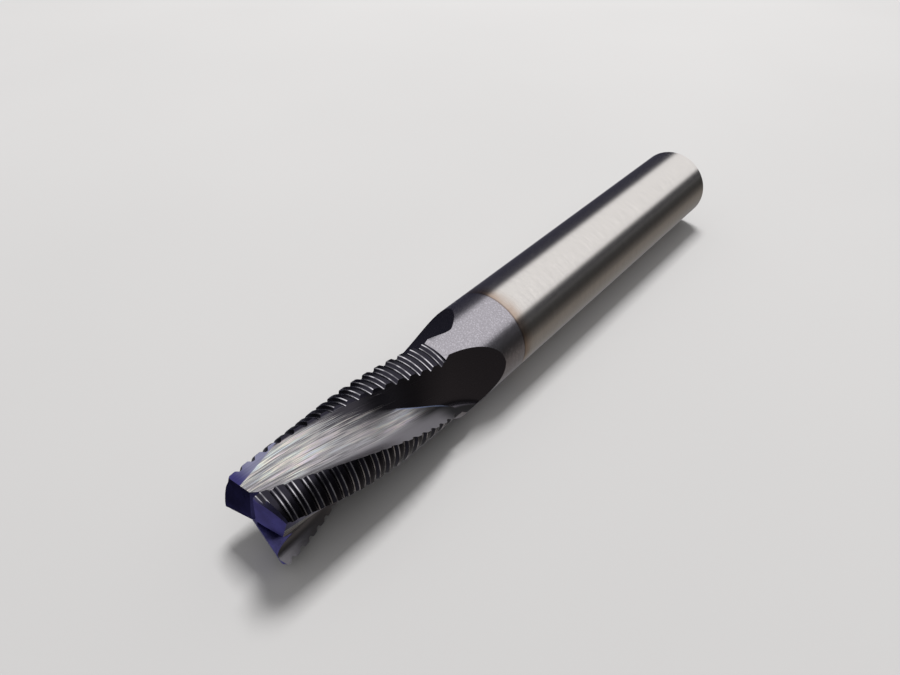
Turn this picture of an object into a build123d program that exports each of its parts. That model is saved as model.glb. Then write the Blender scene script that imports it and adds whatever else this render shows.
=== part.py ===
from build123d import *
from math import acos, ceil, cos, degrees, hypot, radians, sin, sqrt, tan
import os

# Three-flute roughing end mill, ground from one bar. The tool stands on the flat end of its shank:
# Z is the tool axis, z = 0 is the shank end, and the teeth point up. Lengths are in millimetres.

# Shank and overall size
overall_length = 63.0
shank_diameter = 8.0
shank_chamfer = 0.4

# Fluted head
teeth = 3
cutting_diameter = 7.5
cutting_length = 18.05
helix_angle = 20.0
rake_angle = 8.0
root_radius = 0.9
core_diameter = 4.2
heel_diameter = 7.1
land_angle = 41.0
relief_offset = 0.3
shoulder_length = 0.35
shoulder_depth = 0.3

# Run-out of each flute: the flat back stops turning, then climbs out of the bar on a large radius
runout_start = 15.3
runout_radius = 17.6
turn_stop = 16.7
turn_slowing = 2.0

# Chip-breaking grooves across the lands
groove_pitch = 1.0
groove_depth = 0.22
groove_width = 0.56
groove_root_width = 0.2
first_groove = 0.2

# End teeth
dish_angle = 2.5
end_relief_angle = 10.0
end_relief_width = 0.5
end_clearance_angle = 16.0
corner_chamfer = 0.3
corner_relief_offset = 1.1
gash_angle = 30.0
gash_opening = 60.0
gash_depth = 0.45

# How far the cutting shapes reach past the faces that they cut
over = 1.5

shank_radius = shank_diameter / 2
edge_radius = cutting_diameter / 2
core_radius = core_diameter / 2
heel_radius = heel_diameter / 2
tip = overall_length
head_end = tip - cutting_length
tooth_step = 360 / teeth
turn_per_mm = degrees(tan(radians(helix_angle)) / edge_radius)

# Angle from the cutting edge to the middle of the flute's flat back, which touches the core circle
# and meets the next land at its heel.
back_angle = tooth_step - land_angle - degrees(acos(core_radius / heel_radius))


def turn_at(z):
    """Angle of the first tooth's cutting edge at the height z, in degrees."""
    return (z - tip) * turn_per_mm


def polar(radius, angle):
    return (radius * cos(radians(angle)), radius * sin(radians(angle)))


def levels(bottom, top, step):
    count = ceil((top - bottom) / step)
    return [bottom + (top - bottom) * i / count for i in range(count + 1)]


def back_turn_at(z):
    """Turn of the flute's back: it follows the helix, slows down and stops in the run-out."""
    past = z - (tip - turn_stop)
    if past >= turn_slowing:
        return turn_at(z)
    if past <= -turn_slowing:
        return turn_at(tip - turn_stop)
    return turn_at(tip - turn_stop + (past + turn_slowing) ** 2 / (4 * turn_slowing))


def back_distance_at(z):
    """Distance of the flute's back from the tool axis."""
    past = max(tip - runout_start - z, 0)
    return core_radius + runout_radius - sqrt(runout_radius**2 - past**2)


def flute_corner(distance, angle):
    """Where the line of the rake face meets the line of the back, seen with the edge on +X."""
    slope = tan(radians(rake_angle))
    across = cos(radians(angle)) + slope * sin(radians(angle))
    x = (distance + slope * edge_radius * sin(radians(angle))) / across
    return (x, (x - edge_radius) * slope)


# The back has left the bar once it has climbed this far.
exit_clearance = 0.15
full_lift = shank_radius - core_radius + exit_clearance
runout_length = sqrt(2 * runout_radius * full_lift - full_lift**2)
flute_bottom = tip - runout_start - runout_length
flute_step = 1.5
rake_reach = 2 * shank_radius + over
rake_top = (edge_radius + rake_reach * cos(radians(rake_angle)), rake_reach * sin(radians(rake_angle)))

with BuildPart() as flute_cutter:
    for z in levels(flute_bottom, tip + over, flute_step):
        with BuildSketch(Plane.XY.offset(z).rotated((0, 0, turn_at(z)))):
            distance = back_distance_at(z)
            angle = back_angle + back_turn_at(z) - turn_at(z)
            corner = flute_corner(distance, angle)
            foot = polar(distance, angle)
            back_top = (
                foot[0] + polar(shank_radius + over, angle + 90)[0],
                foot[1] + polar(shank_radius + over, angle + 90)[1],
            )
            with BuildLine():
                Polyline(rake_top, corner, back_top, (rake_top[0], back_top[1]), close=True)
            profile = make_face()
            fillet(profile.vertices().sort_by_distance(corner)[0], root_radius)
    loft()
print("flute", flute_cutter.part.volume, flute_cutter.part.is_valid)

# Behind each cutting edge the land follows a circle whose centre is moved towards the flute.
land_circle = hypot(edge_radius, relief_offset)
land_margin = 25.0
land_back = -land_angle - land_margin
land_sweep = land_angle + 2 * land_margin
land_step = 1.75

with BuildPart() as relief_cutter:
    for z in levels(head_end, tip + over, land_step):
        with BuildSketch(Plane.XY.offset(z).rotated((0, 0, turn_at(z)))):
            with BuildLine(Location((0, relief_offset))):
                inner = CenterArc((0, 0), land_circle, land_back, land_sweep)
                outer = CenterArc((0, 0), shank_radius + over, land_back, land_sweep)
                Line(inner @ 0, outer @ 0)
                Line(inner @ 1, outer @ 1)
            make_face()
    loft()

# The grooves of each tooth sit a third of a pitch lower than those of the tooth before it, so that
# together the teeth leave no ridge uncut.
groove_stagger = groove_pitch / teeth
groove_bottom = land_circle - groove_depth
groove_slope = (groove_width - groove_root_width) / 2 / groove_depth
groove_mouth = groove_width / 2 + groove_slope * over
groove_start = 14.0
groove_sweep = land_angle + 34.0


def groove_heights(tooth):
    """Heights of one tooth's grooves, from the tip down to the end of the head."""
    first = tip - first_groove - tooth * groove_stagger
    count = int((first - head_end - groove_width / 2) / groove_pitch) + 1
    return [first - i * groove_pitch for i in range(count)]


with BuildPart() as groove_cutter:
    for tooth in range(teeth):
        for z in groove_heights(tooth):
            turn = turn_at(z) + tooth * tooth_step
            centre = (*polar(relief_offset, turn + 90), z)
            outward = (*polar(1, turn + groove_start), 0)
            across = (*polar(1, turn + groove_start - 90), 0)
            with BuildSketch(Plane(origin=centre, x_dir=outward, z_dir=across)):
                with BuildLine():
                    Polyline(
                        (land_circle + over, groove_mouth),
                        (groove_bottom, groove_root_width / 2),
                        (groove_bottom, -groove_root_width / 2),
                        (land_circle + over, -groove_mouth),
                        close=True,
                    )
                make_face()
            revolve(axis=Axis(centre, (0, 0, -1)), revolution_arc=groove_sweep)

# End face of one tooth: a narrow relief behind the cutting edge, then a steeper clearance. The edge
# is highest at the corner's bevel and sinks a little towards the axis.
relief_drop = end_relief_width * tan(radians(end_relief_angle))
clearance_reach = 2 * edge_radius
clearance_drop = relief_drop + (clearance_reach - end_relief_width) * tan(radians(end_clearance_angle))
edge_line = (-cos(radians(dish_angle)), 0, -sin(radians(dish_angle)))
edge_behind = corner_chamfer * tan(radians(rake_angle))
edge_start = (edge_radius + over, -edge_behind, tip + (corner_chamfer + over) * tan(radians(dish_angle)))

# The gash is a notch from the middle into the flute; its wall carries the rake face inward.
root_corner = flute_corner(core_radius, back_angle)
rake_length = (edge_radius - root_corner[0]) / cos(radians(rake_angle))
rake_height = rake_length - root_radius / tan(radians((90 + back_angle - rake_angle) / 2))
gash_wall = rake_height * sin(radians(rake_angle))
gash_line = (cos(radians(gash_angle)), 0, -sin(radians(gash_angle)))
gash_before = 0.6
gash_start = (-gash_before, -gash_wall, tip - gash_depth + gash_before * tan(radians(gash_angle)))
gash_height = 3.0

# The bevel of the corner falls away behind the edge a little faster than the land.
corner_circle = hypot(edge_radius, corner_relief_offset)
corner_front = 15.0
corner_sweep = land_angle + 2.5 * corner_front

with BuildPart() as end_cutter:
    with BuildSketch(Plane(origin=edge_start, x_dir=(0, -1, 0), z_dir=edge_line)):
        with BuildLine():
            Polyline(
                (-over, 0),
                (0, 0),
                (end_relief_width, -relief_drop),
                (clearance_reach, -clearance_drop),
                (clearance_reach, over),
                (-over, over),
                close=True,
            )
        make_face()
    extrude(amount=(edge_radius + over) / cos(radians(dish_angle)))

    with BuildSketch(Plane(origin=gash_start, x_dir=(0, 1, 0), z_dir=gash_line)):
        gash_width = gash_height * tan(radians(gash_opening))
        with BuildLine():
            Polyline((0, 0), (0, gash_height), (gash_width, gash_height), close=True)
        make_face()
    extrude(amount=gash_before + shank_radius + over)

with BuildPart() as corner_cutter:
    bevel_centre = (0, corner_relief_offset, tip)
    outward = (*polar(1, corner_front), 0)
    across = (*polar(1, corner_front - 90), 0)
    with BuildSketch(Plane(origin=bevel_centre, x_dir=outward, z_dir=across)):
        with BuildLine():
            Polyline(
                (corner_circle - corner_chamfer - over, over),
                (corner_circle + over, -corner_chamfer - over),
                (corner_circle + over, over),
                close=True,
            )
        make_face()
    revolve(axis=Axis(bevel_centre, (0, 0, -1)), revolution_arc=corner_sweep)
print("cutters", groove_cutter.part.volume, end_cutter.part.is_valid, corner_cutter.part.is_valid)

with BuildPart() as endmill:
    # The bar, standing on its chamfered end.
    Cylinder(shank_radius, overall_length, align=(Align.CENTER, Align.CENTER, Align.MIN))
    chamfer(endmill.edges().group_by(Axis.Z)[0], shank_chamfer)

    # Flutes, relieved lands and end faces of the three teeth
    with PolarLocations(0, teeth):
        add(relief_cutter.part, mode=Mode.SUBTRACT)
    print("relieved", endmill.part.volume, endmill.part.is_valid)
    with PolarLocations(0, teeth):
        add(flute_cutter.part, mode=Mode.SUBTRACT)
    print("fluted", endmill.part.volume, endmill.part.is_valid)

    # Short cone between the shank's diameter and the head
    with BuildSketch(Plane.XZ):
        with BuildLine():
            Polyline(
                (shank_radius, head_end - shoulder_length),
                (shank_radius - shoulder_depth, head_end),
                (shank_radius + over, head_end),
                (shank_radius + over, head_end - shoulder_length),
                close=True,
            )
        make_face()
    revolve(axis=Axis.Z, mode=Mode.SUBTRACT)
    print("shouldered", endmill.part.volume, endmill.part.is_valid, len(endmill.part.solids()))

    # Chip-breaking grooves, turned about each land's own centre
    add(groove_cutter.part, mode=Mode.SUBTRACT)
    print("grooved", endmill.part.volume, endmill.part.is_valid, len(endmill.part.solids()))

    # End teeth
    with PolarLocations(0, teeth):
        add(end_cutter.part, mode=Mode.SUBTRACT)
    print("end faces", endmill.part.volume, endmill.part.is_valid, len(endmill.part.solids()))
    with PolarLocations(0, teeth):
        add(corner_cutter.part, mode=Mode.SUBTRACT)
    print("corners", endmill.part.volume, endmill.part.is_valid, len(endmill.part.solids()))

endmill.part.label = "endmill"

os.makedirs("parts", exist_ok=True)
export_step(endmill.part, "parts/endmill.step")
print(endmill.part.bounding_box())
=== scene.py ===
import bpy
import bmesh
from math import acos, atan2, ceil, cos, degrees, hypot, pi, radians, sin, sqrt, tan
from mathutils import Euler, Matrix, Vector


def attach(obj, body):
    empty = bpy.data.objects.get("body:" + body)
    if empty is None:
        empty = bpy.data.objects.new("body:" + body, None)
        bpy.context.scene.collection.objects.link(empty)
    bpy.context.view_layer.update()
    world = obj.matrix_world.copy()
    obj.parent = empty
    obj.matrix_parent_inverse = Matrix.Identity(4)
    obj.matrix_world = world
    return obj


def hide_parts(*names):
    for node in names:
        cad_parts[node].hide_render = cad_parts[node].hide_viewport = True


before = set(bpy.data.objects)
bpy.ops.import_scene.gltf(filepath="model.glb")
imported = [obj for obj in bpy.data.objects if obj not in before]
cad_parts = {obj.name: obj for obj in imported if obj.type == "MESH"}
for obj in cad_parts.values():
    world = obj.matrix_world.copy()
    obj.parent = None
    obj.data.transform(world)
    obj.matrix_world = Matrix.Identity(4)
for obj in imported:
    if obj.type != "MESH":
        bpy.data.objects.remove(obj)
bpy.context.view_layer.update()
print("frame loaded")

mm = 0.001

# the ground tool, in millimetres and degrees, standing on its shank end
toolForm = {
    "length": 63.0, "shankRadius": 4.0, "shankBevel": 0.4,
    "edgeRadius": 3.75, "coreRadius": 2.1, "heelRadius": 3.55, "headLength": 18.05,
    "helix": 20.0, "rake": 8.0, "rootRadius": 0.9, "landAngle": 41.0, "landOffset": 0.3,
    "shoulderLength": 0.35, "shoulderDepth": 0.3,
    "runoutStart": 15.3, "runoutRadius": 17.6, "turnStop": 16.7, "turnSlowing": 2.0,
    "groovePitch": 1.0, "grooveDepth": 0.22, "grooveWidth": 0.62, "grooveRoot": 0.12, "grooveFirst": 0.2,
    # how finely the mesh is divided, and where its sections start and end
    "landPoints": 32, "rakePoints": 3, "rootPoints": 9, "backPoints": 12, "stepsPerPitch": 18,
    "straightReach": 12.0, "halvings": 34, "merge": 0.0001, "overTip": 0.3, "underHead": 0.0005,
    "runoutStep": 0.1, "lowest": 38.9, "fluteFrom": 39.0, "plainGap": 0.5,
}

# surfaces in the order of their slots, with the angle above which an edge in them stays sharp
surfaces = {"shankSurface": 30, "landSurface": 50, "fluteSurface": 40, "endSurface": 8, "bevelSurface": 8}
shankSlot, landSlot, fluteSlot, endSlot, bevelSlot = range(len(surfaces))

teeth = 3
toothStep = 360 / teeth
tip = toolForm["length"]
headEnd = tip - toolForm["headLength"]
turnPerMm = degrees(tan(radians(toolForm["helix"])) / toolForm["edgeRadius"])
backAngle = toothStep - toolForm["landAngle"] - degrees(acos(toolForm["coreRadius"] / toolForm["heelRadius"]))
landCircle = hypot(toolForm["edgeRadius"], toolForm["landOffset"])


def turnAt(z):
    return (z - tip) * turnPerMm


def backTurnAt(z):  # the flute's flat back stops turning in the run-out,
    slowing = toolForm["turnSlowing"]
    past = z - (tip - toolForm["turnStop"])
    if past >= slowing:
        return turnAt(z)
    stopTurn = turnAt(tip - toolForm["turnStop"])
    return stopTurn + turnPerMm * max(past + slowing, 0) ** 2 / (4 * slowing)


def backDistanceAt(z):  # and climbs out of the bar on a large radius
    past = max(tip - toolForm["runoutStart"] - z, 0)
    radius = toolForm["runoutRadius"]
    return toolForm["coreRadius"] + radius - sqrt(radius**2 - min(past, radius) ** 2)


def grooveAt(z, tooth):  # depth of the chip-breaking groove that crosses this height
    pitch = toolForm["groovePitch"]
    first = tip - toolForm["grooveFirst"] - tooth * pitch / teeth
    count = int((first - headEnd - toolForm["grooveWidth"] / 2) / pitch) + 1
    nearest = min(max(round((first - z) / pitch), 0), count - 1)
    away = abs(z - (first - nearest * pitch))
    rootHalf, mouthHalf = toolForm["grooveRoot"] / 2, toolForm["grooveWidth"] / 2
    blend = min(max((away - rootHalf) / (mouthHalf - rootHalf), 0), 1)
    return toolForm["grooveDepth"] * (0.5 + 0.5 * cos(pi * blend))


def outerRadius(angle, z, tooth):  # radius of the bar or of a land, angle measured from the land's edge
    if z < headEnd:
        climb = min(max((z - headEnd + toolForm["shoulderLength"]) / toolForm["shoulderLength"], 0), 1)
        return toolForm["shankRadius"] - climb * toolForm["shoulderDepth"]
    circle = landCircle - grooveAt(z, tooth)
    offset = toolForm["landOffset"]
    side = radians(angle)
    return offset * sin(side) + sqrt(circle**2 - (offset * cos(side)) ** 2)


def cornerPlace(distance, angle):  # where the line of the rake face meets the line of the back
    slope = tan(radians(toolForm["rake"]))
    side = radians(angle)
    x = (distance + slope * toolForm["edgeRadius"] * sin(side)) / (cos(side) + slope * sin(side))
    return x, (x - toolForm["edgeRadius"]) * slope


def fluteCurve(z):  # the flute's section as a path from 0 to 3: rake face up to 1, root up to 2, flat back
    angle = backAngle + backTurnAt(z) - turnAt(z)
    rake, rootRadius, reach = toolForm["rake"], toolForm["rootRadius"], toolForm["straightReach"]
    corner = Vector(cornerPlace(backDistanceAt(z), angle))
    rakeWay = Vector((cos(radians(rake)), sin(radians(rake))))
    backWay = Vector((-sin(radians(angle)), cos(radians(angle))))
    half = radians(angle + 90 - rake) / 2
    middle = radians((angle + 90 + rake) / 2)
    rakeFoot = corner + rakeWay * (rootRadius / tan(half))
    backFoot = corner + backWay * (rootRadius / tan(half))
    centre = corner + Vector((cos(middle), sin(middle))) * rootRadius / sin(half)
    sweep = -(pi - 2 * half)

    def point(t):
        if t < 1:
            return rakeFoot + rakeWay * reach * (1 - t)
        if t <= 2:
            return centre + Matrix.Rotation(sweep * (t - 1), 2) @ (rakeFoot - centre)
        return backFoot + backWay * reach * (t - 2)

    return point, angle


def crossing(point, inside, outside, radiusAt):  # where the path leaves the bar
    for _ in range(toolForm["halvings"]):
        middle = (inside + outside) / 2
        p = point(middle)
        if p.length < radiusAt(degrees(atan2(p.y, p.x))):
            inside = middle
        else:
            outside = middle
    return inside


def deepestPlace(point):  # where the path comes nearest to the tool's axis, on the root or the back
    rootSteps, backSteps = 8, 60
    places = [1 + i / rootSteps for i in range(rootSteps + 1)]
    places += [2 + i / backSteps for i in range(1, backSteps // 2)]
    return min(places, key=lambda t: point(t).length)


def fluteEnds(z, tooth):  # one flute at one height: the land's edge, the next heel, the points between
    rake, root, back = toolForm["rakePoints"], toolForm["rootPoints"], toolForm["backPoints"]
    point, angle = fluteCurve(z)
    deepest = deepestPlace(point)
    if point(deepest).length >= outerRadius(angle, z, tooth):  # the flute has left the bar
        spot = Vector((cos(radians(angle)), sin(radians(angle)))) * toolForm["shankRadius"]
        return spot, spot, [spot] * (rake + root + back)
    start = crossing(point, deepest, 0, lambda a: outerRadius(a, z, tooth))
    end = crossing(point, deepest, 3, lambda a: outerRadius(a - toothStep, z, (tooth + 1) % teeth))
    rootStart = max(start, 1)
    rootEnd = max(min(max(start, 2), end), rootStart)
    backStart = max(start, min(2, end))
    inner = []
    for low, high, count, parts in (
        (start, rootStart, rake, rake), (rootStart, rootEnd, root, root), (backStart, end, back, back + 1),
    ):
        inner += [point(low + (high - low) * i / parts) for i in range(1, count + 1)]
    return point(start), point(end), inner


def section(z):  # the tool's outline at one height, counter-clockwise
    flutes = [fluteEnds(z, tooth) for tooth in range(teeth)]
    last = toolForm["landPoints"] - 1
    outline = []
    for tooth in range(teeth):
        heel, edge = flutes[tooth - 1][1], flutes[tooth][0]
        heelAngle = degrees(atan2(heel.y, heel.x)) - toothStep
        edgeAngle = degrees(atan2(edge.y, edge.x))
        base = turnAt(z) + tooth * toothStep
        for i in range(last + 1):
            a = heelAngle + (edgeAngle - heelAngle) * i / last
            r = outerRadius(a, z, tooth)
            outline.append(Vector((r * cos(radians(a + base)), r * sin(radians(a + base)), z)))
        spin = Matrix.Rotation(radians(base), 2)
        outline += [Vector((*(spin @ p), z)) for p in flutes[tooth][2]]
    return outline


def toolLevels():  # heights of the sections, closest together on the serrated head
    step = toolForm["groovePitch"] / toolForm["stepsPerPitch"]
    count = ceil((tip + toolForm["overTip"] - headEnd) / step)
    head = [headEnd + i * step for i in range(count + 1)]
    shoulder = toolForm["shoulderLength"]
    below = [headEnd - toolForm["underHead"], headEnd - shoulder / 2, headEnd - shoulder]
    while below[-1] > toolForm["lowest"]:
        below.append(below[-1] - toolForm["runoutStep"])
    return sorted(head + below)


def meshObject(name, verts, faces, slots):  # an object from points and faces, merged, its faces outwards
    mesh = bpy.data.meshes.new(name)
    mesh.from_pydata(verts, [], faces)
    mesh.polygons.foreach_set("material_index", slots)
    work = bmesh.new()
    work.from_mesh(mesh)
    bmesh.ops.remove_doubles(work, verts=work.verts, dist=toolForm["merge"])
    bmesh.ops.dissolve_degenerate(work, edges=work.edges, dist=toolForm["merge"])
    bmesh.ops.recalc_face_normals(work, faces=work.faces)
    work.to_mesh(mesh)
    work.free()
    made = bpy.data.objects.new(name, mesh)
    bpy.context.collection.objects.link(made)
    return made


def ringFaces(rings, count):  # one row of faces between each two rings of points
    return [
        (i * count + j, i * count + (j + 1) % count, (i + 1) * count + (j + 1) % count, (i + 1) * count + j)
        for i in range(rings - 1) for j in range(count)
    ]


def buildTool():  # the bar with its flutes and lands, a little too long at the tip
    levels = toolLevels()
    sections = [section(z) for z in levels]
    count = len(sections[0])

    def plainRing(z, radius):  # the lowest section made round
        return [
            Vector((p.x * radius / hypot(p.x, p.y), p.y * radius / hypot(p.x, p.y), z)) for p in sections[0]
        ]

    bevel, shank, neck = toolForm["shankBevel"], toolForm["shankRadius"], levels[0] - toolForm["plainGap"]
    rings = [plainRing(0, shank - bevel), plainRing(bevel, shank), plainRing(neck, shank)] + sections
    heights = [0, bevel, neck] + levels
    faces = ringFaces(len(rings), count)
    slots = []
    for low, high in zip(heights, heights[1:]):
        land = landSlot if low > headEnd - 2 * toolForm["underHead"] else shankSlot
        flute = fluteSlot if high > toolForm["fluteFrom"] else shankSlot
        slots += [flute if j % (count // teeth) >= toolForm["landPoints"] - 1 else land for j in range(count)]
    faces.append(tuple(reversed(range(count))))
    faces.append(tuple((len(rings) - 1) * count + j for j in range(count)))
    slots += [shankSlot, endSlot]
    return meshObject("endmillBody", [p for ring in rings for p in ring], faces, slots)


tool = buildTool()
print("tool body", len(tool.data.polygons), "faces")

# end teeth: two relief planes, a gash and a corner bevel for each, in millimetres and degrees
endForm = {
    "dish": 2.5, "relief": 10.0, "reliefWidth": 0.5, "clearance": 16.0, "block": 9.0, "blockLap": 0.06,
    "gashAngle": 30.0, "gashOpening": 60.0, "gashDepth": 0.45,
    "gashReach": 5.5, "gashBefore": 0.6, "gashHeight": 3.0,
    "bevel": 0.3, "bevelOffset": 1.1, "bevelOver": 1.5,
    "bevelFront": 15.0, "bevelSweep": 37.5, "bevelSteps": 40,
}


def newCube(name):
    bpy.ops.object.select_all(action="DESELECT")
    bpy.ops.mesh.primitive_cube_add(size=1)
    cube = bpy.context.object
    cube.name = name
    return cube


def cutBlock(name, turn, corner):  # a block on its lower face, turned and moved to its corner
    block = newCube(name)
    size = endForm["block"]
    block.data.transform(Matrix.Translation((0, 0, 0.5)))
    block.data.transform(Matrix.Diagonal((size, size, size / 2, 1)))
    block.data.transform(turn)
    block.data.transform(Matrix.Translation(corner))
    return block


def buildEndBlocks():  # a narrow relief behind the edge, then a steeper clearance
    behind = endForm["bevel"] * tan(radians(toolForm["rake"]))
    corner = Vector((toolForm["edgeRadius"] - endForm["bevel"], -behind, tip))
    drop = endForm["reliefWidth"] * tan(radians(endForm["relief"]))
    dish = Matrix.Rotation(radians(-endForm["dish"]), 4, "Y")
    second = corner + dish.to_3x3() @ Vector((0, -endForm["reliefWidth"], -drop))
    outward = endForm["block"] / 2 - corner.x
    blocks = []
    for name, lean, place, along in (
        ("reliefBlock", "relief", corner, outward),
        ("clearanceBlock", "clearance", second, outward - endForm["blockLap"]),
    ):
        turn = dish @ Matrix.Rotation(radians(endForm[lean]), 4, "X") @ Matrix.Translation((along, 0, 0))
        blocks.append(cutBlock(name, turn, place))
    return blocks


def rakeWidth():  # how far the rake face reaches in from the cutting edge to its round root
    rake = toolForm["rake"]
    depth = toolForm["edgeRadius"] - cornerPlace(toolForm["coreRadius"], backAngle)[0]
    return depth / cos(radians(rake)) - toolForm["rootRadius"] / tan(radians(backAngle + 90 - rake) / 2)


def buildGash():  # a notch from the middle into the flute, its wall in line with the rake face
    gash = newCube("gashBlock")
    height = endForm["gashHeight"]
    turn = Matrix.Rotation(radians(endForm["gashAngle"]), 4, "Y")
    for v in gash.data.vertices:
        x = (v.co.x + 0.5) * endForm["gashReach"] - endForm["gashBefore"]
        y = (v.co.y + 0.5) * height
        z = y / tan(radians(endForm["gashOpening"])) if v.co.z < 0 else height
        v.co = turn @ Vector((x, y, z))
    wall = rakeWidth() * sin(radians(toolForm["rake"]))
    gash.data.transform(Matrix.Translation((0, -wall, tip - endForm["gashDepth"])))
    return gash


def buildBevelRing():  # a ring sector around a centre moved towards the flute
    offset, bevel = endForm["bevelOffset"], endForm["bevel"]
    over, steps = endForm["bevelOver"], endForm["bevelSteps"]
    circle = hypot(toolForm["edgeRadius"], offset)
    profile = [(circle - bevel - over, over), (circle + over, -bevel - over), (circle + over, over)]
    sweep = toolForm["landAngle"] + endForm["bevelSweep"]
    verts = []
    for i in range(steps + 1):
        a = radians(endForm["bevelFront"] - sweep * i / steps)
        verts += [(r * cos(a), r * sin(a) + offset, tip + z) for r, z in profile]
    faces = ringFaces(steps + 1, 3) + [(2, 1, 0), (steps * 3, steps * 3 + 1, steps * 3 + 2)]
    return meshObject("bevelRing", verts, faces, [bevelSlot] * len(faces))


def cutWith(cutter):
    bpy.ops.object.select_all(action="DESELECT")
    bpy.context.view_layer.objects.active = tool
    tool.select_set(True)
    modifier = tool.modifiers.new("cut", "BOOLEAN")
    modifier.operation = "DIFFERENCE"
    modifier.solver = "EXACT"
    modifier.object = cutter
    bpy.ops.object.modifier_apply(modifier="cut")
    bpy.data.objects.remove(cutter)


def cutAllTeeth(cutter, slot):
    for tooth in range(teeth):
        copy = cutter.copy()
        copy.data = cutter.data.copy()
        bpy.context.collection.objects.link(copy)
        copy.data.transform(Matrix.Rotation(radians(tooth * toothStep), 4, "Z"))
        for name in surfaces:
            copy.data.materials.append(bpy.data.materials[name])
        copy.data.polygons.foreach_set("material_index", [slot] * len(copy.data.polygons))
        cutWith(copy)
    bpy.data.objects.remove(cutter)


def finishEdges():  # smooth faces, with sharp edges between surfaces and where they turn hard
    work = bmesh.new()
    work.from_mesh(tool.data)
    bmesh.ops.remove_doubles(work, verts=work.verts, dist=toolForm["merge"])
    limits = [radians(angle) for angle in surfaces.values()]
    for face in work.faces:
        face.smooth = True
    for edge in work.edges:
        if len(edge.link_faces) == 2:
            one, other = edge.link_faces
            turned = one.normal.angle(other.normal, 0)
            edge.smooth = one.material_index == other.material_index and turned < limits[one.material_index]
    print("open edges", sum(1 for edge in work.edges if len(edge.link_faces) != 2))
    work.to_mesh(tool.data)
    work.free()


for name in surfaces:
    tool.data.materials.append(bpy.data.materials.new(name))
for block in [*buildEndBlocks(), buildGash()]:
    cutAllTeeth(block, endSlot)
print("end faces cut", len(tool.data.polygons), "faces")
cutAllTeeth(buildBevelRing(), bevelSlot)
print("corners cut", len(tool.data.polygons), "faces")
finishEdges()
tool.data.transform(Matrix.Scale(mm, 4))
tool.name = "endmill_ground"


class Wire:  # one socket of a material, with arithmetic
    def __init__(self, recipe, socket):
        self.recipe, self.socket = recipe, socket

    def __add__(self, other):
        return self.recipe.maths("ADD", self, other)

    def __radd__(self, other):
        return self.recipe.maths("ADD", other, self)

    def __sub__(self, other):
        return self.recipe.maths("SUBTRACT", self, other)

    def __rsub__(self, other):
        return self.recipe.maths("SUBTRACT", other, self)

    def __mul__(self, other):
        return self.recipe.maths("MULTIPLY", self, other)

    def __rmul__(self, other):
        return self.recipe.maths("MULTIPLY", other, self)

    def __truediv__(self, other):
        return self.recipe.maths("DIVIDE", self, other)

    def __rtruediv__(self, other):
        return self.recipe.maths("DIVIDE", other, self)


class Recipe:  # the nodes of one material or of the world
    def __init__(self, owner):
        owner.use_nodes = True
        self.tree = owner.node_tree
        self.tree.nodes.clear()

    def node(self, kind, settings=None, sockets=None, out=0):
        node = self.tree.nodes.new("ShaderNode" + kind)
        for key, value in (settings or {}).items():
            if key == "stops":
                self.setStops(node.color_ramp, value)
            else:
                setattr(node, key, value)
        for key, value in (sockets or {}).items():
            if isinstance(value, Wire):
                self.tree.links.new(value.socket, node.inputs[key])
            elif isinstance(value, tuple) and len(value) == 3 and node.inputs[key].type == "RGBA":
                node.inputs[key].default_value = (*value, 1)
            else:
                node.inputs[key].default_value = value
        return Wire(self, node.outputs[out]) if node.outputs else None

    def setStops(self, ramp, stops):
        while len(ramp.elements) > 1:
            ramp.elements.remove(ramp.elements[-1])
        for i, (place, colour) in enumerate(stops):
            stop = ramp.elements[0] if i == 0 else ramp.elements.new(place)
            stop.position = place
            stop.color = (*colour, 1)

    def maths(self, operation, *values):
        return self.node("Math", {"operation": operation}, dict(enumerate(values)))

    def place(self):  # object coordinates in millimetres
        return self.tint(self.node("TexCoord", out=3), 1 / mm)

    def part(self, vector, axis):
        return self.node("SeparateXYZ", {}, {0: vector}, out="XYZ".index(axis))

    def degreesAbout(self, vector):  # its angle about Z
        return self.maths("ARCTAN2", self.part(vector, "Y"), self.part(vector, "X")) * (180 / pi)

    def ramp(self, value, low, high):  # 0 at low, 1 at high, smooth between
        sockets = {0: value, 1: low, 2: high, 3: 0.0, 4: 1.0}
        return self.node("MapRange", {"interpolation_type": "SMOOTHSTEP"}, sockets)

    def noise(self, vector, stretch, detail=2.0, rough=0.5, shift=(0.0, 0.0, 0.0)):
        place = self.node("Mapping", {}, {"Vector": vector, "Scale": stretch, "Location": shift})
        sockets = {"Vector": place, "Scale": 1.0, "Detail": detail, "Roughness": rough}
        return self.node("TexNoise", {}, sockets)

    def mix(self, amount, first, second):
        return self.node("Mix", {"data_type": "RGBA"}, {0: amount, 6: first, 7: second}, out=2)

    def tint(self, colour, strength):  # a colour made lighter or darker, or a vector made longer
        return self.node("VectorMath", {"operation": "SCALE"}, {0: colour, "Scale": strength})

    def colours(self, value, stops):  # a ramp of colours
        return self.node("ValToRGB", {"stops": stops}, {0: value})

    def bump(self, height, strength, distance):
        return self.node("Bump", {}, {"Strength": strength, "Distance": distance, "Height": height})

    def surface(self, sockets):
        self.node("OutputMaterial", {}, {0: self.node("BsdfPrincipled", {}, sockets)})


def raised(pair, pattern):  # a base, and what the pattern adds to it
    return pair[0] + pair[1] * pattern


def twisted(r, place, z):  # the place turned back along the helix, so that a pattern runs with the flutes
    turn = (z - tip) * radians(-turnPerMm)
    return r.node("VectorRotate", {"rotation_type": "Z_AXIS"}, {"Vector": place, "Angle": turn})


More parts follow.
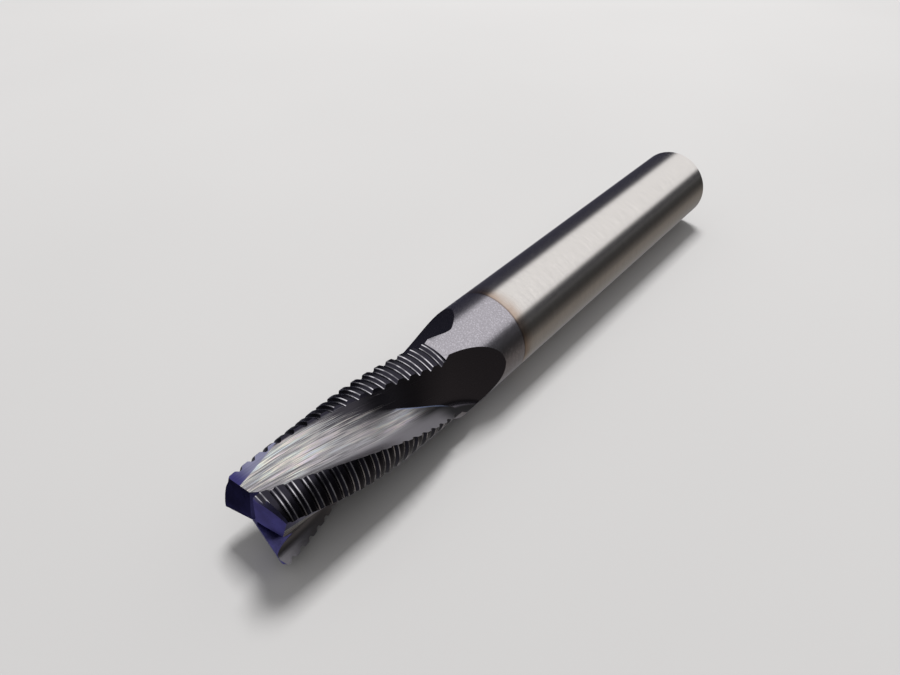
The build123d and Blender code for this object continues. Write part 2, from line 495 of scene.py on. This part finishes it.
# the ground shank: bare below the coating's edge, with a heat tint beside it
shankLook = {
    "bare": (0.64, 0.61, 0.59), "tint": (0.40, 0.29, 0.22),
    "edge": (0.16, 0.13, 0.13), "coat": (0.41, 0.39, 0.425),
    "roughness": 0.2, "coatRoughness": 0.24, "roughnessSpread": 0.08, "bump": (0.12, 0.00002),
    "grain": (11.0, 11.0, 11.0), "rings": (0.5, 0.5, 16.0),
    "wander": (1.2, 1.2, 0.6), "specks": (7.5, 7.5, 7.5),
    "coatStart": 37.04, "coatWander": 0.12, "coatEdge": (-0.02, 0.02),
    "tintLength": 2.2, "tintStrength": (0.55, 0.6), "darkEdge": (-0.22, -0.04), "darkEdgeStrength": 0.8,
    "shade": 0.66, "grainShade": 0.34, "coatGrain": 0.2, "ringShade": 0.34, "coatShade": 0.1,
    "speckRange": (0.50, 0.68), "speckMiddle": 0.35, "speckStrength": 0.24,
}


def shankSurface(material):
    look, r = shankLook, Recipe(material)
    place = r.place()
    z = r.part(place, "Z")
    grain = r.noise(place, look["grain"], detail=2.0, rough=0.7)
    rings = r.noise(place, look["rings"], detail=2.0, rough=0.6)
    wander = r.noise(place, look["wander"], detail=1.0)
    specks = r.ramp(r.noise(place, look["specks"], detail=1.0), *look["speckRange"])

    # heights are measured from the coating's edge, which wanders a little
    line = z - look["coatStart"] + (wander - 0.5) * look["coatWander"]
    coated = r.ramp(line, *look["coatEdge"])
    warmth = r.ramp(line, -look["tintLength"], 0.0)
    warmth = warmth * warmth * raised(look["tintStrength"], wander)
    darkEdge = r.ramp(line, *look["darkEdge"]) * look["darkEdgeStrength"]
    bare = r.mix(darkEdge, r.mix(warmth, look["bare"], look["tint"]), look["edge"])
    colour = r.mix(coated, bare, look["coat"])
    grainShade = look["grainShade"] + look["coatGrain"] * coated
    shade = look["shade"] + grainShade * grain + look["ringShade"] * rings - look["coatShade"] * coated
    colour = r.tint(colour, shade)
    colour = r.tint(colour, 1 + (specks - look["speckMiddle"]) * look["speckStrength"] * coated)

    rough = look["roughness"] + (look["coatRoughness"] - look["roughness"]) * coated
    rough = rough + (grain - 0.5) * look["roughnessSpread"]
    bump = r.bump(grain * 0.6 + rings * 0.4, *look["bump"])
    r.surface({"Base Color": colour, "Metallic": 1.0, "Roughness": rough, "Normal": bump})


# serrated lands: dark coating, lighter along lines at set heights from the middle of each groove, partly worn
# coating and partly a painted highlight
landLook = {
    "coat": (0.030, 0.028, 0.038), "wearAndHighlightLine": (0.74, 0.72, 0.76),
    "roughness": 0.26, "roughnessSpread": 0.15, "bump": (0.1, 0.00002),
    "lines": (-0.30, -0.02), "lineHalf": 0.055, "lineCore": 0.3, "lineWander": 0.03,
    "grain": (3.0, 3.0, 9.0), "grainShade": (0.7, 0.6),
    "patches": (0.9, 0.9, 0.5), "patchRange": (0.38, 0.62), "wearAndSheen": (0.2, 0.75),
}


def landSurface(material):
    look, r = landLook, Recipe(material)
    place = r.place()
    z = r.part(place, "Z")
    side = r.degreesAbout(twisted(r, place, z))
    pitch = toolForm["groovePitch"]
    lag = r.maths("FLOOR", (side + toothStep / 2) / toothStep) / teeth  # each tooth sits a third lower
    phase = (tip - toolForm["grooveFirst"] - z) / pitch - lag
    away = (0.5 - r.maths("FRACT", phase + 100.5)) * pitch  # the 100 keeps the phase above zero
    grain = r.noise(place, look["grain"], detail=3.0, rough=0.6)
    patch = r.noise(place, look["patches"])
    # the lighter lines are partly worn coating and partly painted highlight, stronger or fainter in patches
    wearAndHighlightLine = 0.0
    for line in look["lines"]:
        off = r.maths("ABSOLUTE", away - line - (patch - 0.5) * look["lineWander"])
        wearAndHighlightLine = wearAndHighlightLine + (1 - r.ramp(off, look["lineHalf"] * look["lineCore"], look["lineHalf"]))
    wearAndSheen = raised(look["wearAndSheen"], r.ramp(patch, *look["patchRange"]))
    colour = r.mix(wearAndHighlightLine * wearAndSheen, look["coat"], look["wearAndHighlightLine"])
    colour = r.tint(colour, raised(look["grainShade"], grain))
    rough = look["roughness"] + (grain - 0.5) * look["roughnessSpread"]
    bump = r.bump(grain, *look["bump"])
    r.surface({"Base Color": colour, "Metallic": 1.0, "Roughness": rough, "Normal": bump})


# flutes: silvery with faint rainbow streaks along the helix, their bright streaks a painted highlight, dark
# coating with painted shade in the run-out. Most pairs give
# where something starts and ends: heights on the tool, distances before the rake face, values of a pattern
fluteLook = {
    "silver": (0.26, 0.25, 0.265), "rake": (0.19, 0.182, 0.198), "streakHighlight": (0.86, 0.83, 0.84),
    "brightest": 0.95, "roughness": 0.34, "roughnessSpread": 0.2, "darkSmoother": 0.1,
    "bump": (0.25, 0.00003),
    # streaks, the bright ones a painted highlight that grows fainter towards the run-out
    "broad": (2.2, 2.2, 0.10), "fine": (9.0, 9.0, 0.22), "hair": (26.0, 26.0, 0.6),
    "streak": (0.32, 0.36, 0.32), "shadeRange": (0.38, 0.50), "shade": (0.45, 0.75), "root": (0.15, 0.75),
    "lightRange": (0.47, 0.58), "highlightLevel": (0.30, 0.60), "lightHeight": (55.5, 59.5),
    "rainbow": 0.6, "hue": (2.6, 2.6, 0.35), "hueShift": (3.0, 1.0, 4.0),
    "hues": [
        (0.30, (0.70, 0.72, 0.95)), (0.40, (0.66, 0.86, 0.92)), (0.46, (0.78, 0.90, 0.74)),
        (0.52, (0.98, 0.92, 0.66)), (0.58, (0.95, 0.72, 0.68)), (0.66, (0.78, 0.68, 0.88)),
    ],
    # towards the run-out the silver gets painted light on its root side and turns rougher and less metallic,
    # then darkens with painted shade
    "runout": (50.5, 53.5), "runoutRoot": 1.2, "runoutRake": 0.1, "runoutRough": 0.36, "runoutDull": 0.45,
    "deep": (47.2, 50.0), "deepFront": (0.05, 0.4), "deepShade": 0.78, "end": (45.4, 47.4), "endShade": 0.15,
    # dark coating on the flute's back, deepened with painted shade, and the bluish painted highlight line
    # where it begins
    "dark": (0.10, 0.092, 0.108), "darkHead": (0.045, 0.042, 0.050), "headFrom": (49.5, 52.0),
    "darkEnd": (52.9, 57.2), "darkRagged": 26.0, "darkSoft": (0.04, 0.9), "softFrom": (50.0, 52.5),
    "creaseHighlight": (0.50, 0.62, 0.95), "creaseStrength": 0.8, "creaseHalf": 0.09, "creaseShift": 0.04,
    "creaseStart": 45.0, "creaseSlope": 0.36, "creaseRange": (0.05, 1.9),
    "creaseRise": (45.4, 47.0), "creaseFade": (49.4, 51.2),
    # painted shade as a dark rim before each heel, and the blue facet at the heel beside the tip
    "rimShade": (0.030, 0.028, 0.040), "rimReach": (3.28, 3.42), "rimFront": (2.0, 2.4), "rimHeight": (49.5, 51.5),
    "heel": (0.22, 0.22, 0.32), "heelTip": (0.045, 0.041, 0.15), "heelTipHeight": (60.6, 62.2),
    "heelFront": 2.7, "heelTop": 61.9, "heelSlope": 0.34, "heelEdge": (-0.04, 0.05),
    "heelHeight": (57.6, 58.8), "heelShade": (0.6, 0.8),
}


def beforeRake(r, turned):  # distance from the axis, and distance in front of the rake face of the same flute
    behind = 20.0  # degrees behind each cutting edge that still count with it
    side = r.maths("MODULO", r.degreesAbout(turned) + (360.0 + behind), toothStep)
    own = (side - behind) * (pi / 180)
    flat = r.node("VectorMath", {"operation": "MULTIPLY"}, {0: turned, 1: (1.0, 1.0, 0.0)})
    reach = r.node("VectorMath", {"operation": "LENGTH"}, {0: flat}, out=1)
    inward = toolForm["edgeRadius"] - reach * r.maths("COSINE", own)
    return reach, reach * r.maths("SINE", own) + inward * tan(radians(toolForm["rake"]))


def fluteSurface(material):
    look, r = fluteLook, Recipe(material)
    place = r.place()
    z = r.part(place, "Z")
    turned = twisted(r, place, z)
    reach, front = beforeRake(r, turned)
    broad = r.noise(turned, look["broad"], detail=2.0, rough=0.6)
    fine = r.noise(turned, look["fine"], detail=3.0, rough=0.7)
    hair = r.noise(turned, look["hair"], detail=2.0, rough=0.6)
    streak = broad * look["streak"][0] + fine * look["streak"][1] + hair * look["streak"][2]

    # where the coated back with its painted shade begins, and how far it fades towards the head
    limit = (z - look["creaseStart"]) * look["creaseSlope"]
    limit = r.maths("MINIMUM", r.maths("MAXIMUM", limit, look["creaseRange"][0]), look["creaseRange"][1])
    past = front - limit
    soft = raised(look["darkSoft"], r.ramp(z, *look["softFrom"]))
    fading = r.ramp(z + (streak - 0.5) * look["darkRagged"], *look["darkEnd"])
    dark = r.ramp(past / soft, -1.0, 1.0) * (1 - fading)
    root = r.ramp(front, *look["root"])
    runout = 1 - r.ramp(z, *look["runout"])
    deep = 1 - r.ramp(z, *look["deep"])

    # streaked silver; the bright streaks are a painted highlight, the lighter root by the run-out painted
    # light and the run-out's depths painted shade
    shade = raised(look["shade"], r.ramp(streak, *look["shadeRange"]))
    silver = r.mix(root, look["rake"], r.tint(look["silver"], shade))
    # painted highlight: bright rainbow streaks, fainter towards the run-out
    hue = r.noise(turned, look["hue"], detail=3.0, rough=0.6, shift=look["hueShift"])
    streakHighlight = r.mix(look["rainbow"], look["streakHighlight"], r.colours(hue, look["hues"]))
    highlightLevel = raised(look["highlightLevel"], r.ramp(z, *look["lightHeight"]))
    silver = r.mix(r.ramp(streak, *look["lightRange"]) * root * highlightLevel, silver, streakHighlight)
    # painted light on the root near the run-out, painted shade deep in the run-out and towards the flute's
    # end
    paintedRunoutLight = 1 + runout * (look["runoutRoot"] * root - look["runoutRake"])
    silver = r.tint(silver, paintedRunoutLight * (1 - look["deepShade"] * deep * r.ramp(front, *look["deepFront"])))
    silver = r.tint(silver, look["endShade"] + (1 - look["endShade"]) * r.ramp(z, *look["end"]))
    silver = r.node("VectorMath", {"operation": "MINIMUM"}, {0: silver, 1: (look["brightest"],) * 3})

    # coating darkened with painted shade, the crease's painted highlight, the rim's painted shade and the
    # heel facet over it
    # the dark back is partly coating and partly painted shade
    colour = r.mix(dark, silver, r.mix(r.ramp(z, *look["headFrom"]), look["dark"], look["darkHead"]))
    # painted highlight: a bluish line along the crease
    creaseHighlight = 1 - r.ramp(r.maths("ABSOLUTE", past + look["creaseShift"]), 0.0, look["creaseHalf"])
    creaseHighlight = creaseHighlight * (1 - r.ramp(z, *look["creaseFade"])) * r.ramp(z, *look["creaseRise"])
    colour = r.mix(creaseHighlight * look["creaseStrength"], colour, look["creaseHighlight"])
    # painted shade: a dark rim before each heel
    rimShade = r.ramp(reach, *look["rimReach"]) * r.ramp(front, *look["rimFront"]) * r.ramp(z, *look["rimHeight"])
    colour = r.mix(rimShade, colour, look["rimShade"])
    heel = front - look["heelFront"] - (look["heelTop"] - z) * look["heelSlope"]
    heel = r.ramp(heel, *look["heelEdge"]) * r.ramp(z, *look["heelHeight"])
    heelColour = r.mix(r.ramp(z, *look["heelTipHeight"]), look["heel"], look["heelTip"])
    colour = r.mix(heel, colour, r.tint(heelColour, raised(look["heelShade"], fine)))

    bare = runout * (1 - dark)
    rough = look["roughness"] - look["darkSmoother"] * dark + look["runoutRough"] * bare
    rough = rough + (fine - 0.5) * look["roughnessSpread"]
    metal = 1 - look["runoutDull"] * bare * (1 - root)
    bump = r.bump(fine * 0.5 + hair * 0.5, *look["bump"])
    r.surface({"Base Color": colour, "Metallic": metal, "Roughness": rough, "Normal": bump})


# end faces and corner bevels, blue-violet
endLook = {
    "coat": (0.085, 0.080, 0.240), "second": (0.060, 0.056, 0.150), "grazing": (0.58, 0.56, 0.84, 1.0),
    "roughness": 0.30, "roughnessSpread": 0.15, "bump": (0.15, 0.00002),
    "grinding": (4.0, 4.0, 18.0), "shade": (0.75, 0.5),
    "patches": (0.8, 0.8, 0.8), "patchRange": (0.35, 0.65),
    "bevel": (0.060, 0.057, 0.110), "bevelGrain": (6.0, 6.0, 6.0), "bevelShade": (0.55, 0.8),
    "bevelSpread": 0.1,
}


def endSurface(material):
    look, r = endLook, Recipe(material)
    place = r.place()
    grind = r.noise(place, look["grinding"], detail=3.0, rough=0.6)
    patch = r.noise(place, look["patches"])
    colour = r.mix(r.ramp(patch, *look["patchRange"]), look["second"], look["coat"])
    colour = r.tint(colour, raised(look["shade"], grind))
    rough = look["roughness"] + (grind - 0.5) * look["roughnessSpread"]
    r.surface({
        "Base Color": colour, "Metallic": 1.0, "Roughness": rough, "Specular Tint": look["grazing"],
        "Normal": r.bump(grind, *look["bump"]),
    })


def bevelSurface(material):
    look, r = endLook, Recipe(material)
    grain = r.noise(r.place(), look["bevelGrain"], detail=3.0, rough=0.6)
    colour = r.tint(look["bevel"], raised(look["bevelShade"], grain))
    rough = look["roughness"] + (grain - 0.5) * look["bevelSpread"]
    r.surface({"Base Color": colour, "Metallic": 1.0, "Roughness": rough, "Specular Tint": look["grazing"]})


fills = (shankSurface, landSurface, fluteSurface, endSurface, bevelSurface)
for material, fill in zip(tool.data.materials, fills):
    fill(material)
print("surfaces made")

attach(tool, "root")
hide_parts("endmill")

# camera at the photograph's place, in millimetres and degrees
cameraSetup = {
    "place": (44.483, -18.637, 76.5), "turn": (-39.457, 39.2926, -77.2312),
    "lens": 28.0, "sensor": 36.0, "nearest": 1.0,
}
camera = bpy.data.cameras.new("camera")
camera.lens = cameraSetup["lens"]
camera.sensor_width = cameraSetup["sensor"]
camera.clip_start = cameraSetup["nearest"] * mm
cameraObject = bpy.data.objects.new("camera", camera)
cameraObject.location = Vector(cameraSetup["place"]) * mm
cameraObject.rotation_euler = Euler([radians(a) for a in cameraSetup["turn"]])
bpy.context.collection.objects.link(cameraObject)
bpy.context.scene.camera = cameraObject
print("camera set")

# studio: a plain pale sheet that the tool lies against, one long soft panel over it, darker sides. Lengths
# are in metres; angles are in degrees, about the tool's axis from the upward side or towards its cutting end
studio = {
    "upward": 12.77, "backdrop": (0.50, 0.49, 0.49), "spread": 0.5,
    "sheetSize": 4.0, "sheetGap": 0.00001, "sheetColour": (0.50, 0.492, 0.488),
    "cloud": (0.02, 0.02, 0.02), "cloudShade": (0.97, 0.06),
    "panel": 1.08, "panelStart": (-52.0, -34.0), "panelEnd": (47.0, 60.0),
    "panelWider": 30.0, "panelWiderFrom": (-38.0, -16.0), "beyondFrom": (8.0, 16.0),
    "lampPower": 3.2, "lampSize": 0.16, "lampHeight": 0.50, "lampAside": 0.13, "lampAlong": -0.16,
    "lampAim": 0.04,
    # greys of the room round the tool, and beyond its cutting end, once round from below to below
    "room": [
        (0.00, (0.24, 0.23, 0.22)), (0.10, (0.22, 0.22, 0.25)), (0.155, (0.17, 0.17, 0.20)),
        (0.185, (0.05, 0.05, 0.07)), (0.25, (0.035, 0.035, 0.055)), (0.50, (0.05, 0.05, 0.06)),
        (0.70, (0.06, 0.06, 0.065)), (0.715, (0.10, 0.10, 0.10)), (0.735, (0.045, 0.045, 0.045)),
        (0.78, (0.04, 0.038, 0.036)), (0.83, (0.12, 0.11, 0.10)), (0.865, (0.21, 0.19, 0.17)),
        (1.00, (0.24, 0.23, 0.22)),
    ],
    "beyond": [
        (0.00, (0.30, 0.30, 0.31)), (0.05, (0.44, 0.44, 0.45)), (0.09, (0.40, 0.40, 0.41)),
        (0.115, (0.05, 0.05, 0.055)), (0.17, (0.03, 0.03, 0.03)), (0.30, (0.05, 0.05, 0.055)),
        (0.62, (0.06, 0.06, 0.065)), (0.80, (0.10, 0.10, 0.105)), (1.00, (0.36, 0.36, 0.37)),
    ],
}
upward = Vector((cos(radians(studio["upward"])), sin(radians(studio["upward"])), 0))
sideward = Vector((-upward.y, upward.x, 0))
alongTool = Vector((0, 0, 1))


def buildSheet():
    bpy.ops.object.select_all(action="DESELECT")
    bpy.ops.mesh.primitive_plane_add(size=studio["sheetSize"])
    sheet = bpy.context.object
    sheet.name = "paleSheet"
    basis = Matrix((sideward, alongTool, upward)).transposed().to_4x4()
    depth = toolForm["shankRadius"] * mm + studio["sheetGap"]
    sheet.data.transform(Matrix.Translation(-upward * depth) @ basis)
    material = bpy.data.materials.new("paleSheet")
    r = Recipe(material)
    cloud = r.noise(r.place(), studio["cloud"])
    colour = r.tint(studio["sheetColour"], raised(studio["cloudShade"], cloud))
    pale = r.node("BsdfDiffuse", {}, {0: colour})
    clear = r.node("BsdfTransparent")
    seen = r.node("LightPath", out=0) * (1 - r.node("NewGeometry", out=6))  # by the camera, from above
    r.node("OutputMaterial", {}, {0: r.node("MixShader", {}, {0: seen, 1: clear, 2: pale})})
    sheet.data.materials.append(material)


def buildWorld():  # the room as a function of direction
    world = bpy.data.worlds.new("studio")
    bpy.context.scene.world = world
    r = Recipe(world)
    way = r.node("TexCoord", out=0)
    around = r.maths("WRAP", studio["upward"] - r.degreesAbout(way), 180.0, -180.0)
    rise = r.maths("ARCSINE", r.part(way, "Z")) * (180 / pi)
    # towards the cutting end the panel reaches further round
    wider = r.ramp(rise, *studio["panelWiderFrom"]) * studio["panelWider"]
    panel = r.ramp(around + wider, *studio["panelStart"]) * (1 - r.ramp(around, *studio["panelEnd"]))
    turn = around / 360.0 + 0.5
    above = r.ramp(rise, *studio["beyondFrom"])
    room = r.mix(above, r.colours(turn, studio["room"]), r.colours(turn, studio["beyond"]))
    level = r.mix(panel, room, (studio["panel"],) * 3)
    # less of it for diffuse rays, and a plain backdrop for the camera
    level = r.tint(level, 1 - (1 - studio["spread"]) * r.node("LightPath", out=2))
    colour = r.mix(r.node("LightPath", out=0), level, studio["backdrop"])
    r.node("OutputWorld", {}, {0: r.node("Background", {}, {0: colour, 1: 1.0})})


def buildLamp():  # shapes the shadow, and shows in no reflection
    lamp = bpy.data.lights.new("lamp", "AREA")
    lamp.energy = studio["lampPower"]
    lamp.size = studio["lampSize"]
    made = bpy.data.objects.new("lamp", lamp)
    made.location = (
        upward * studio["lampHeight"] + sideward * studio["lampAside"] + alongTool * studio["lampAlong"]
    )
    made.rotation_euler = (alongTool * studio["lampAim"] - made.location).to_track_quat("-Z", "Y").to_euler()
    made.visible_glossy = False
    bpy.context.collection.objects.link(made)


buildSheet()
buildWorld()
buildLamp()
bpy.context.scene.view_settings.view_transform = "Standard"
print("studio set")
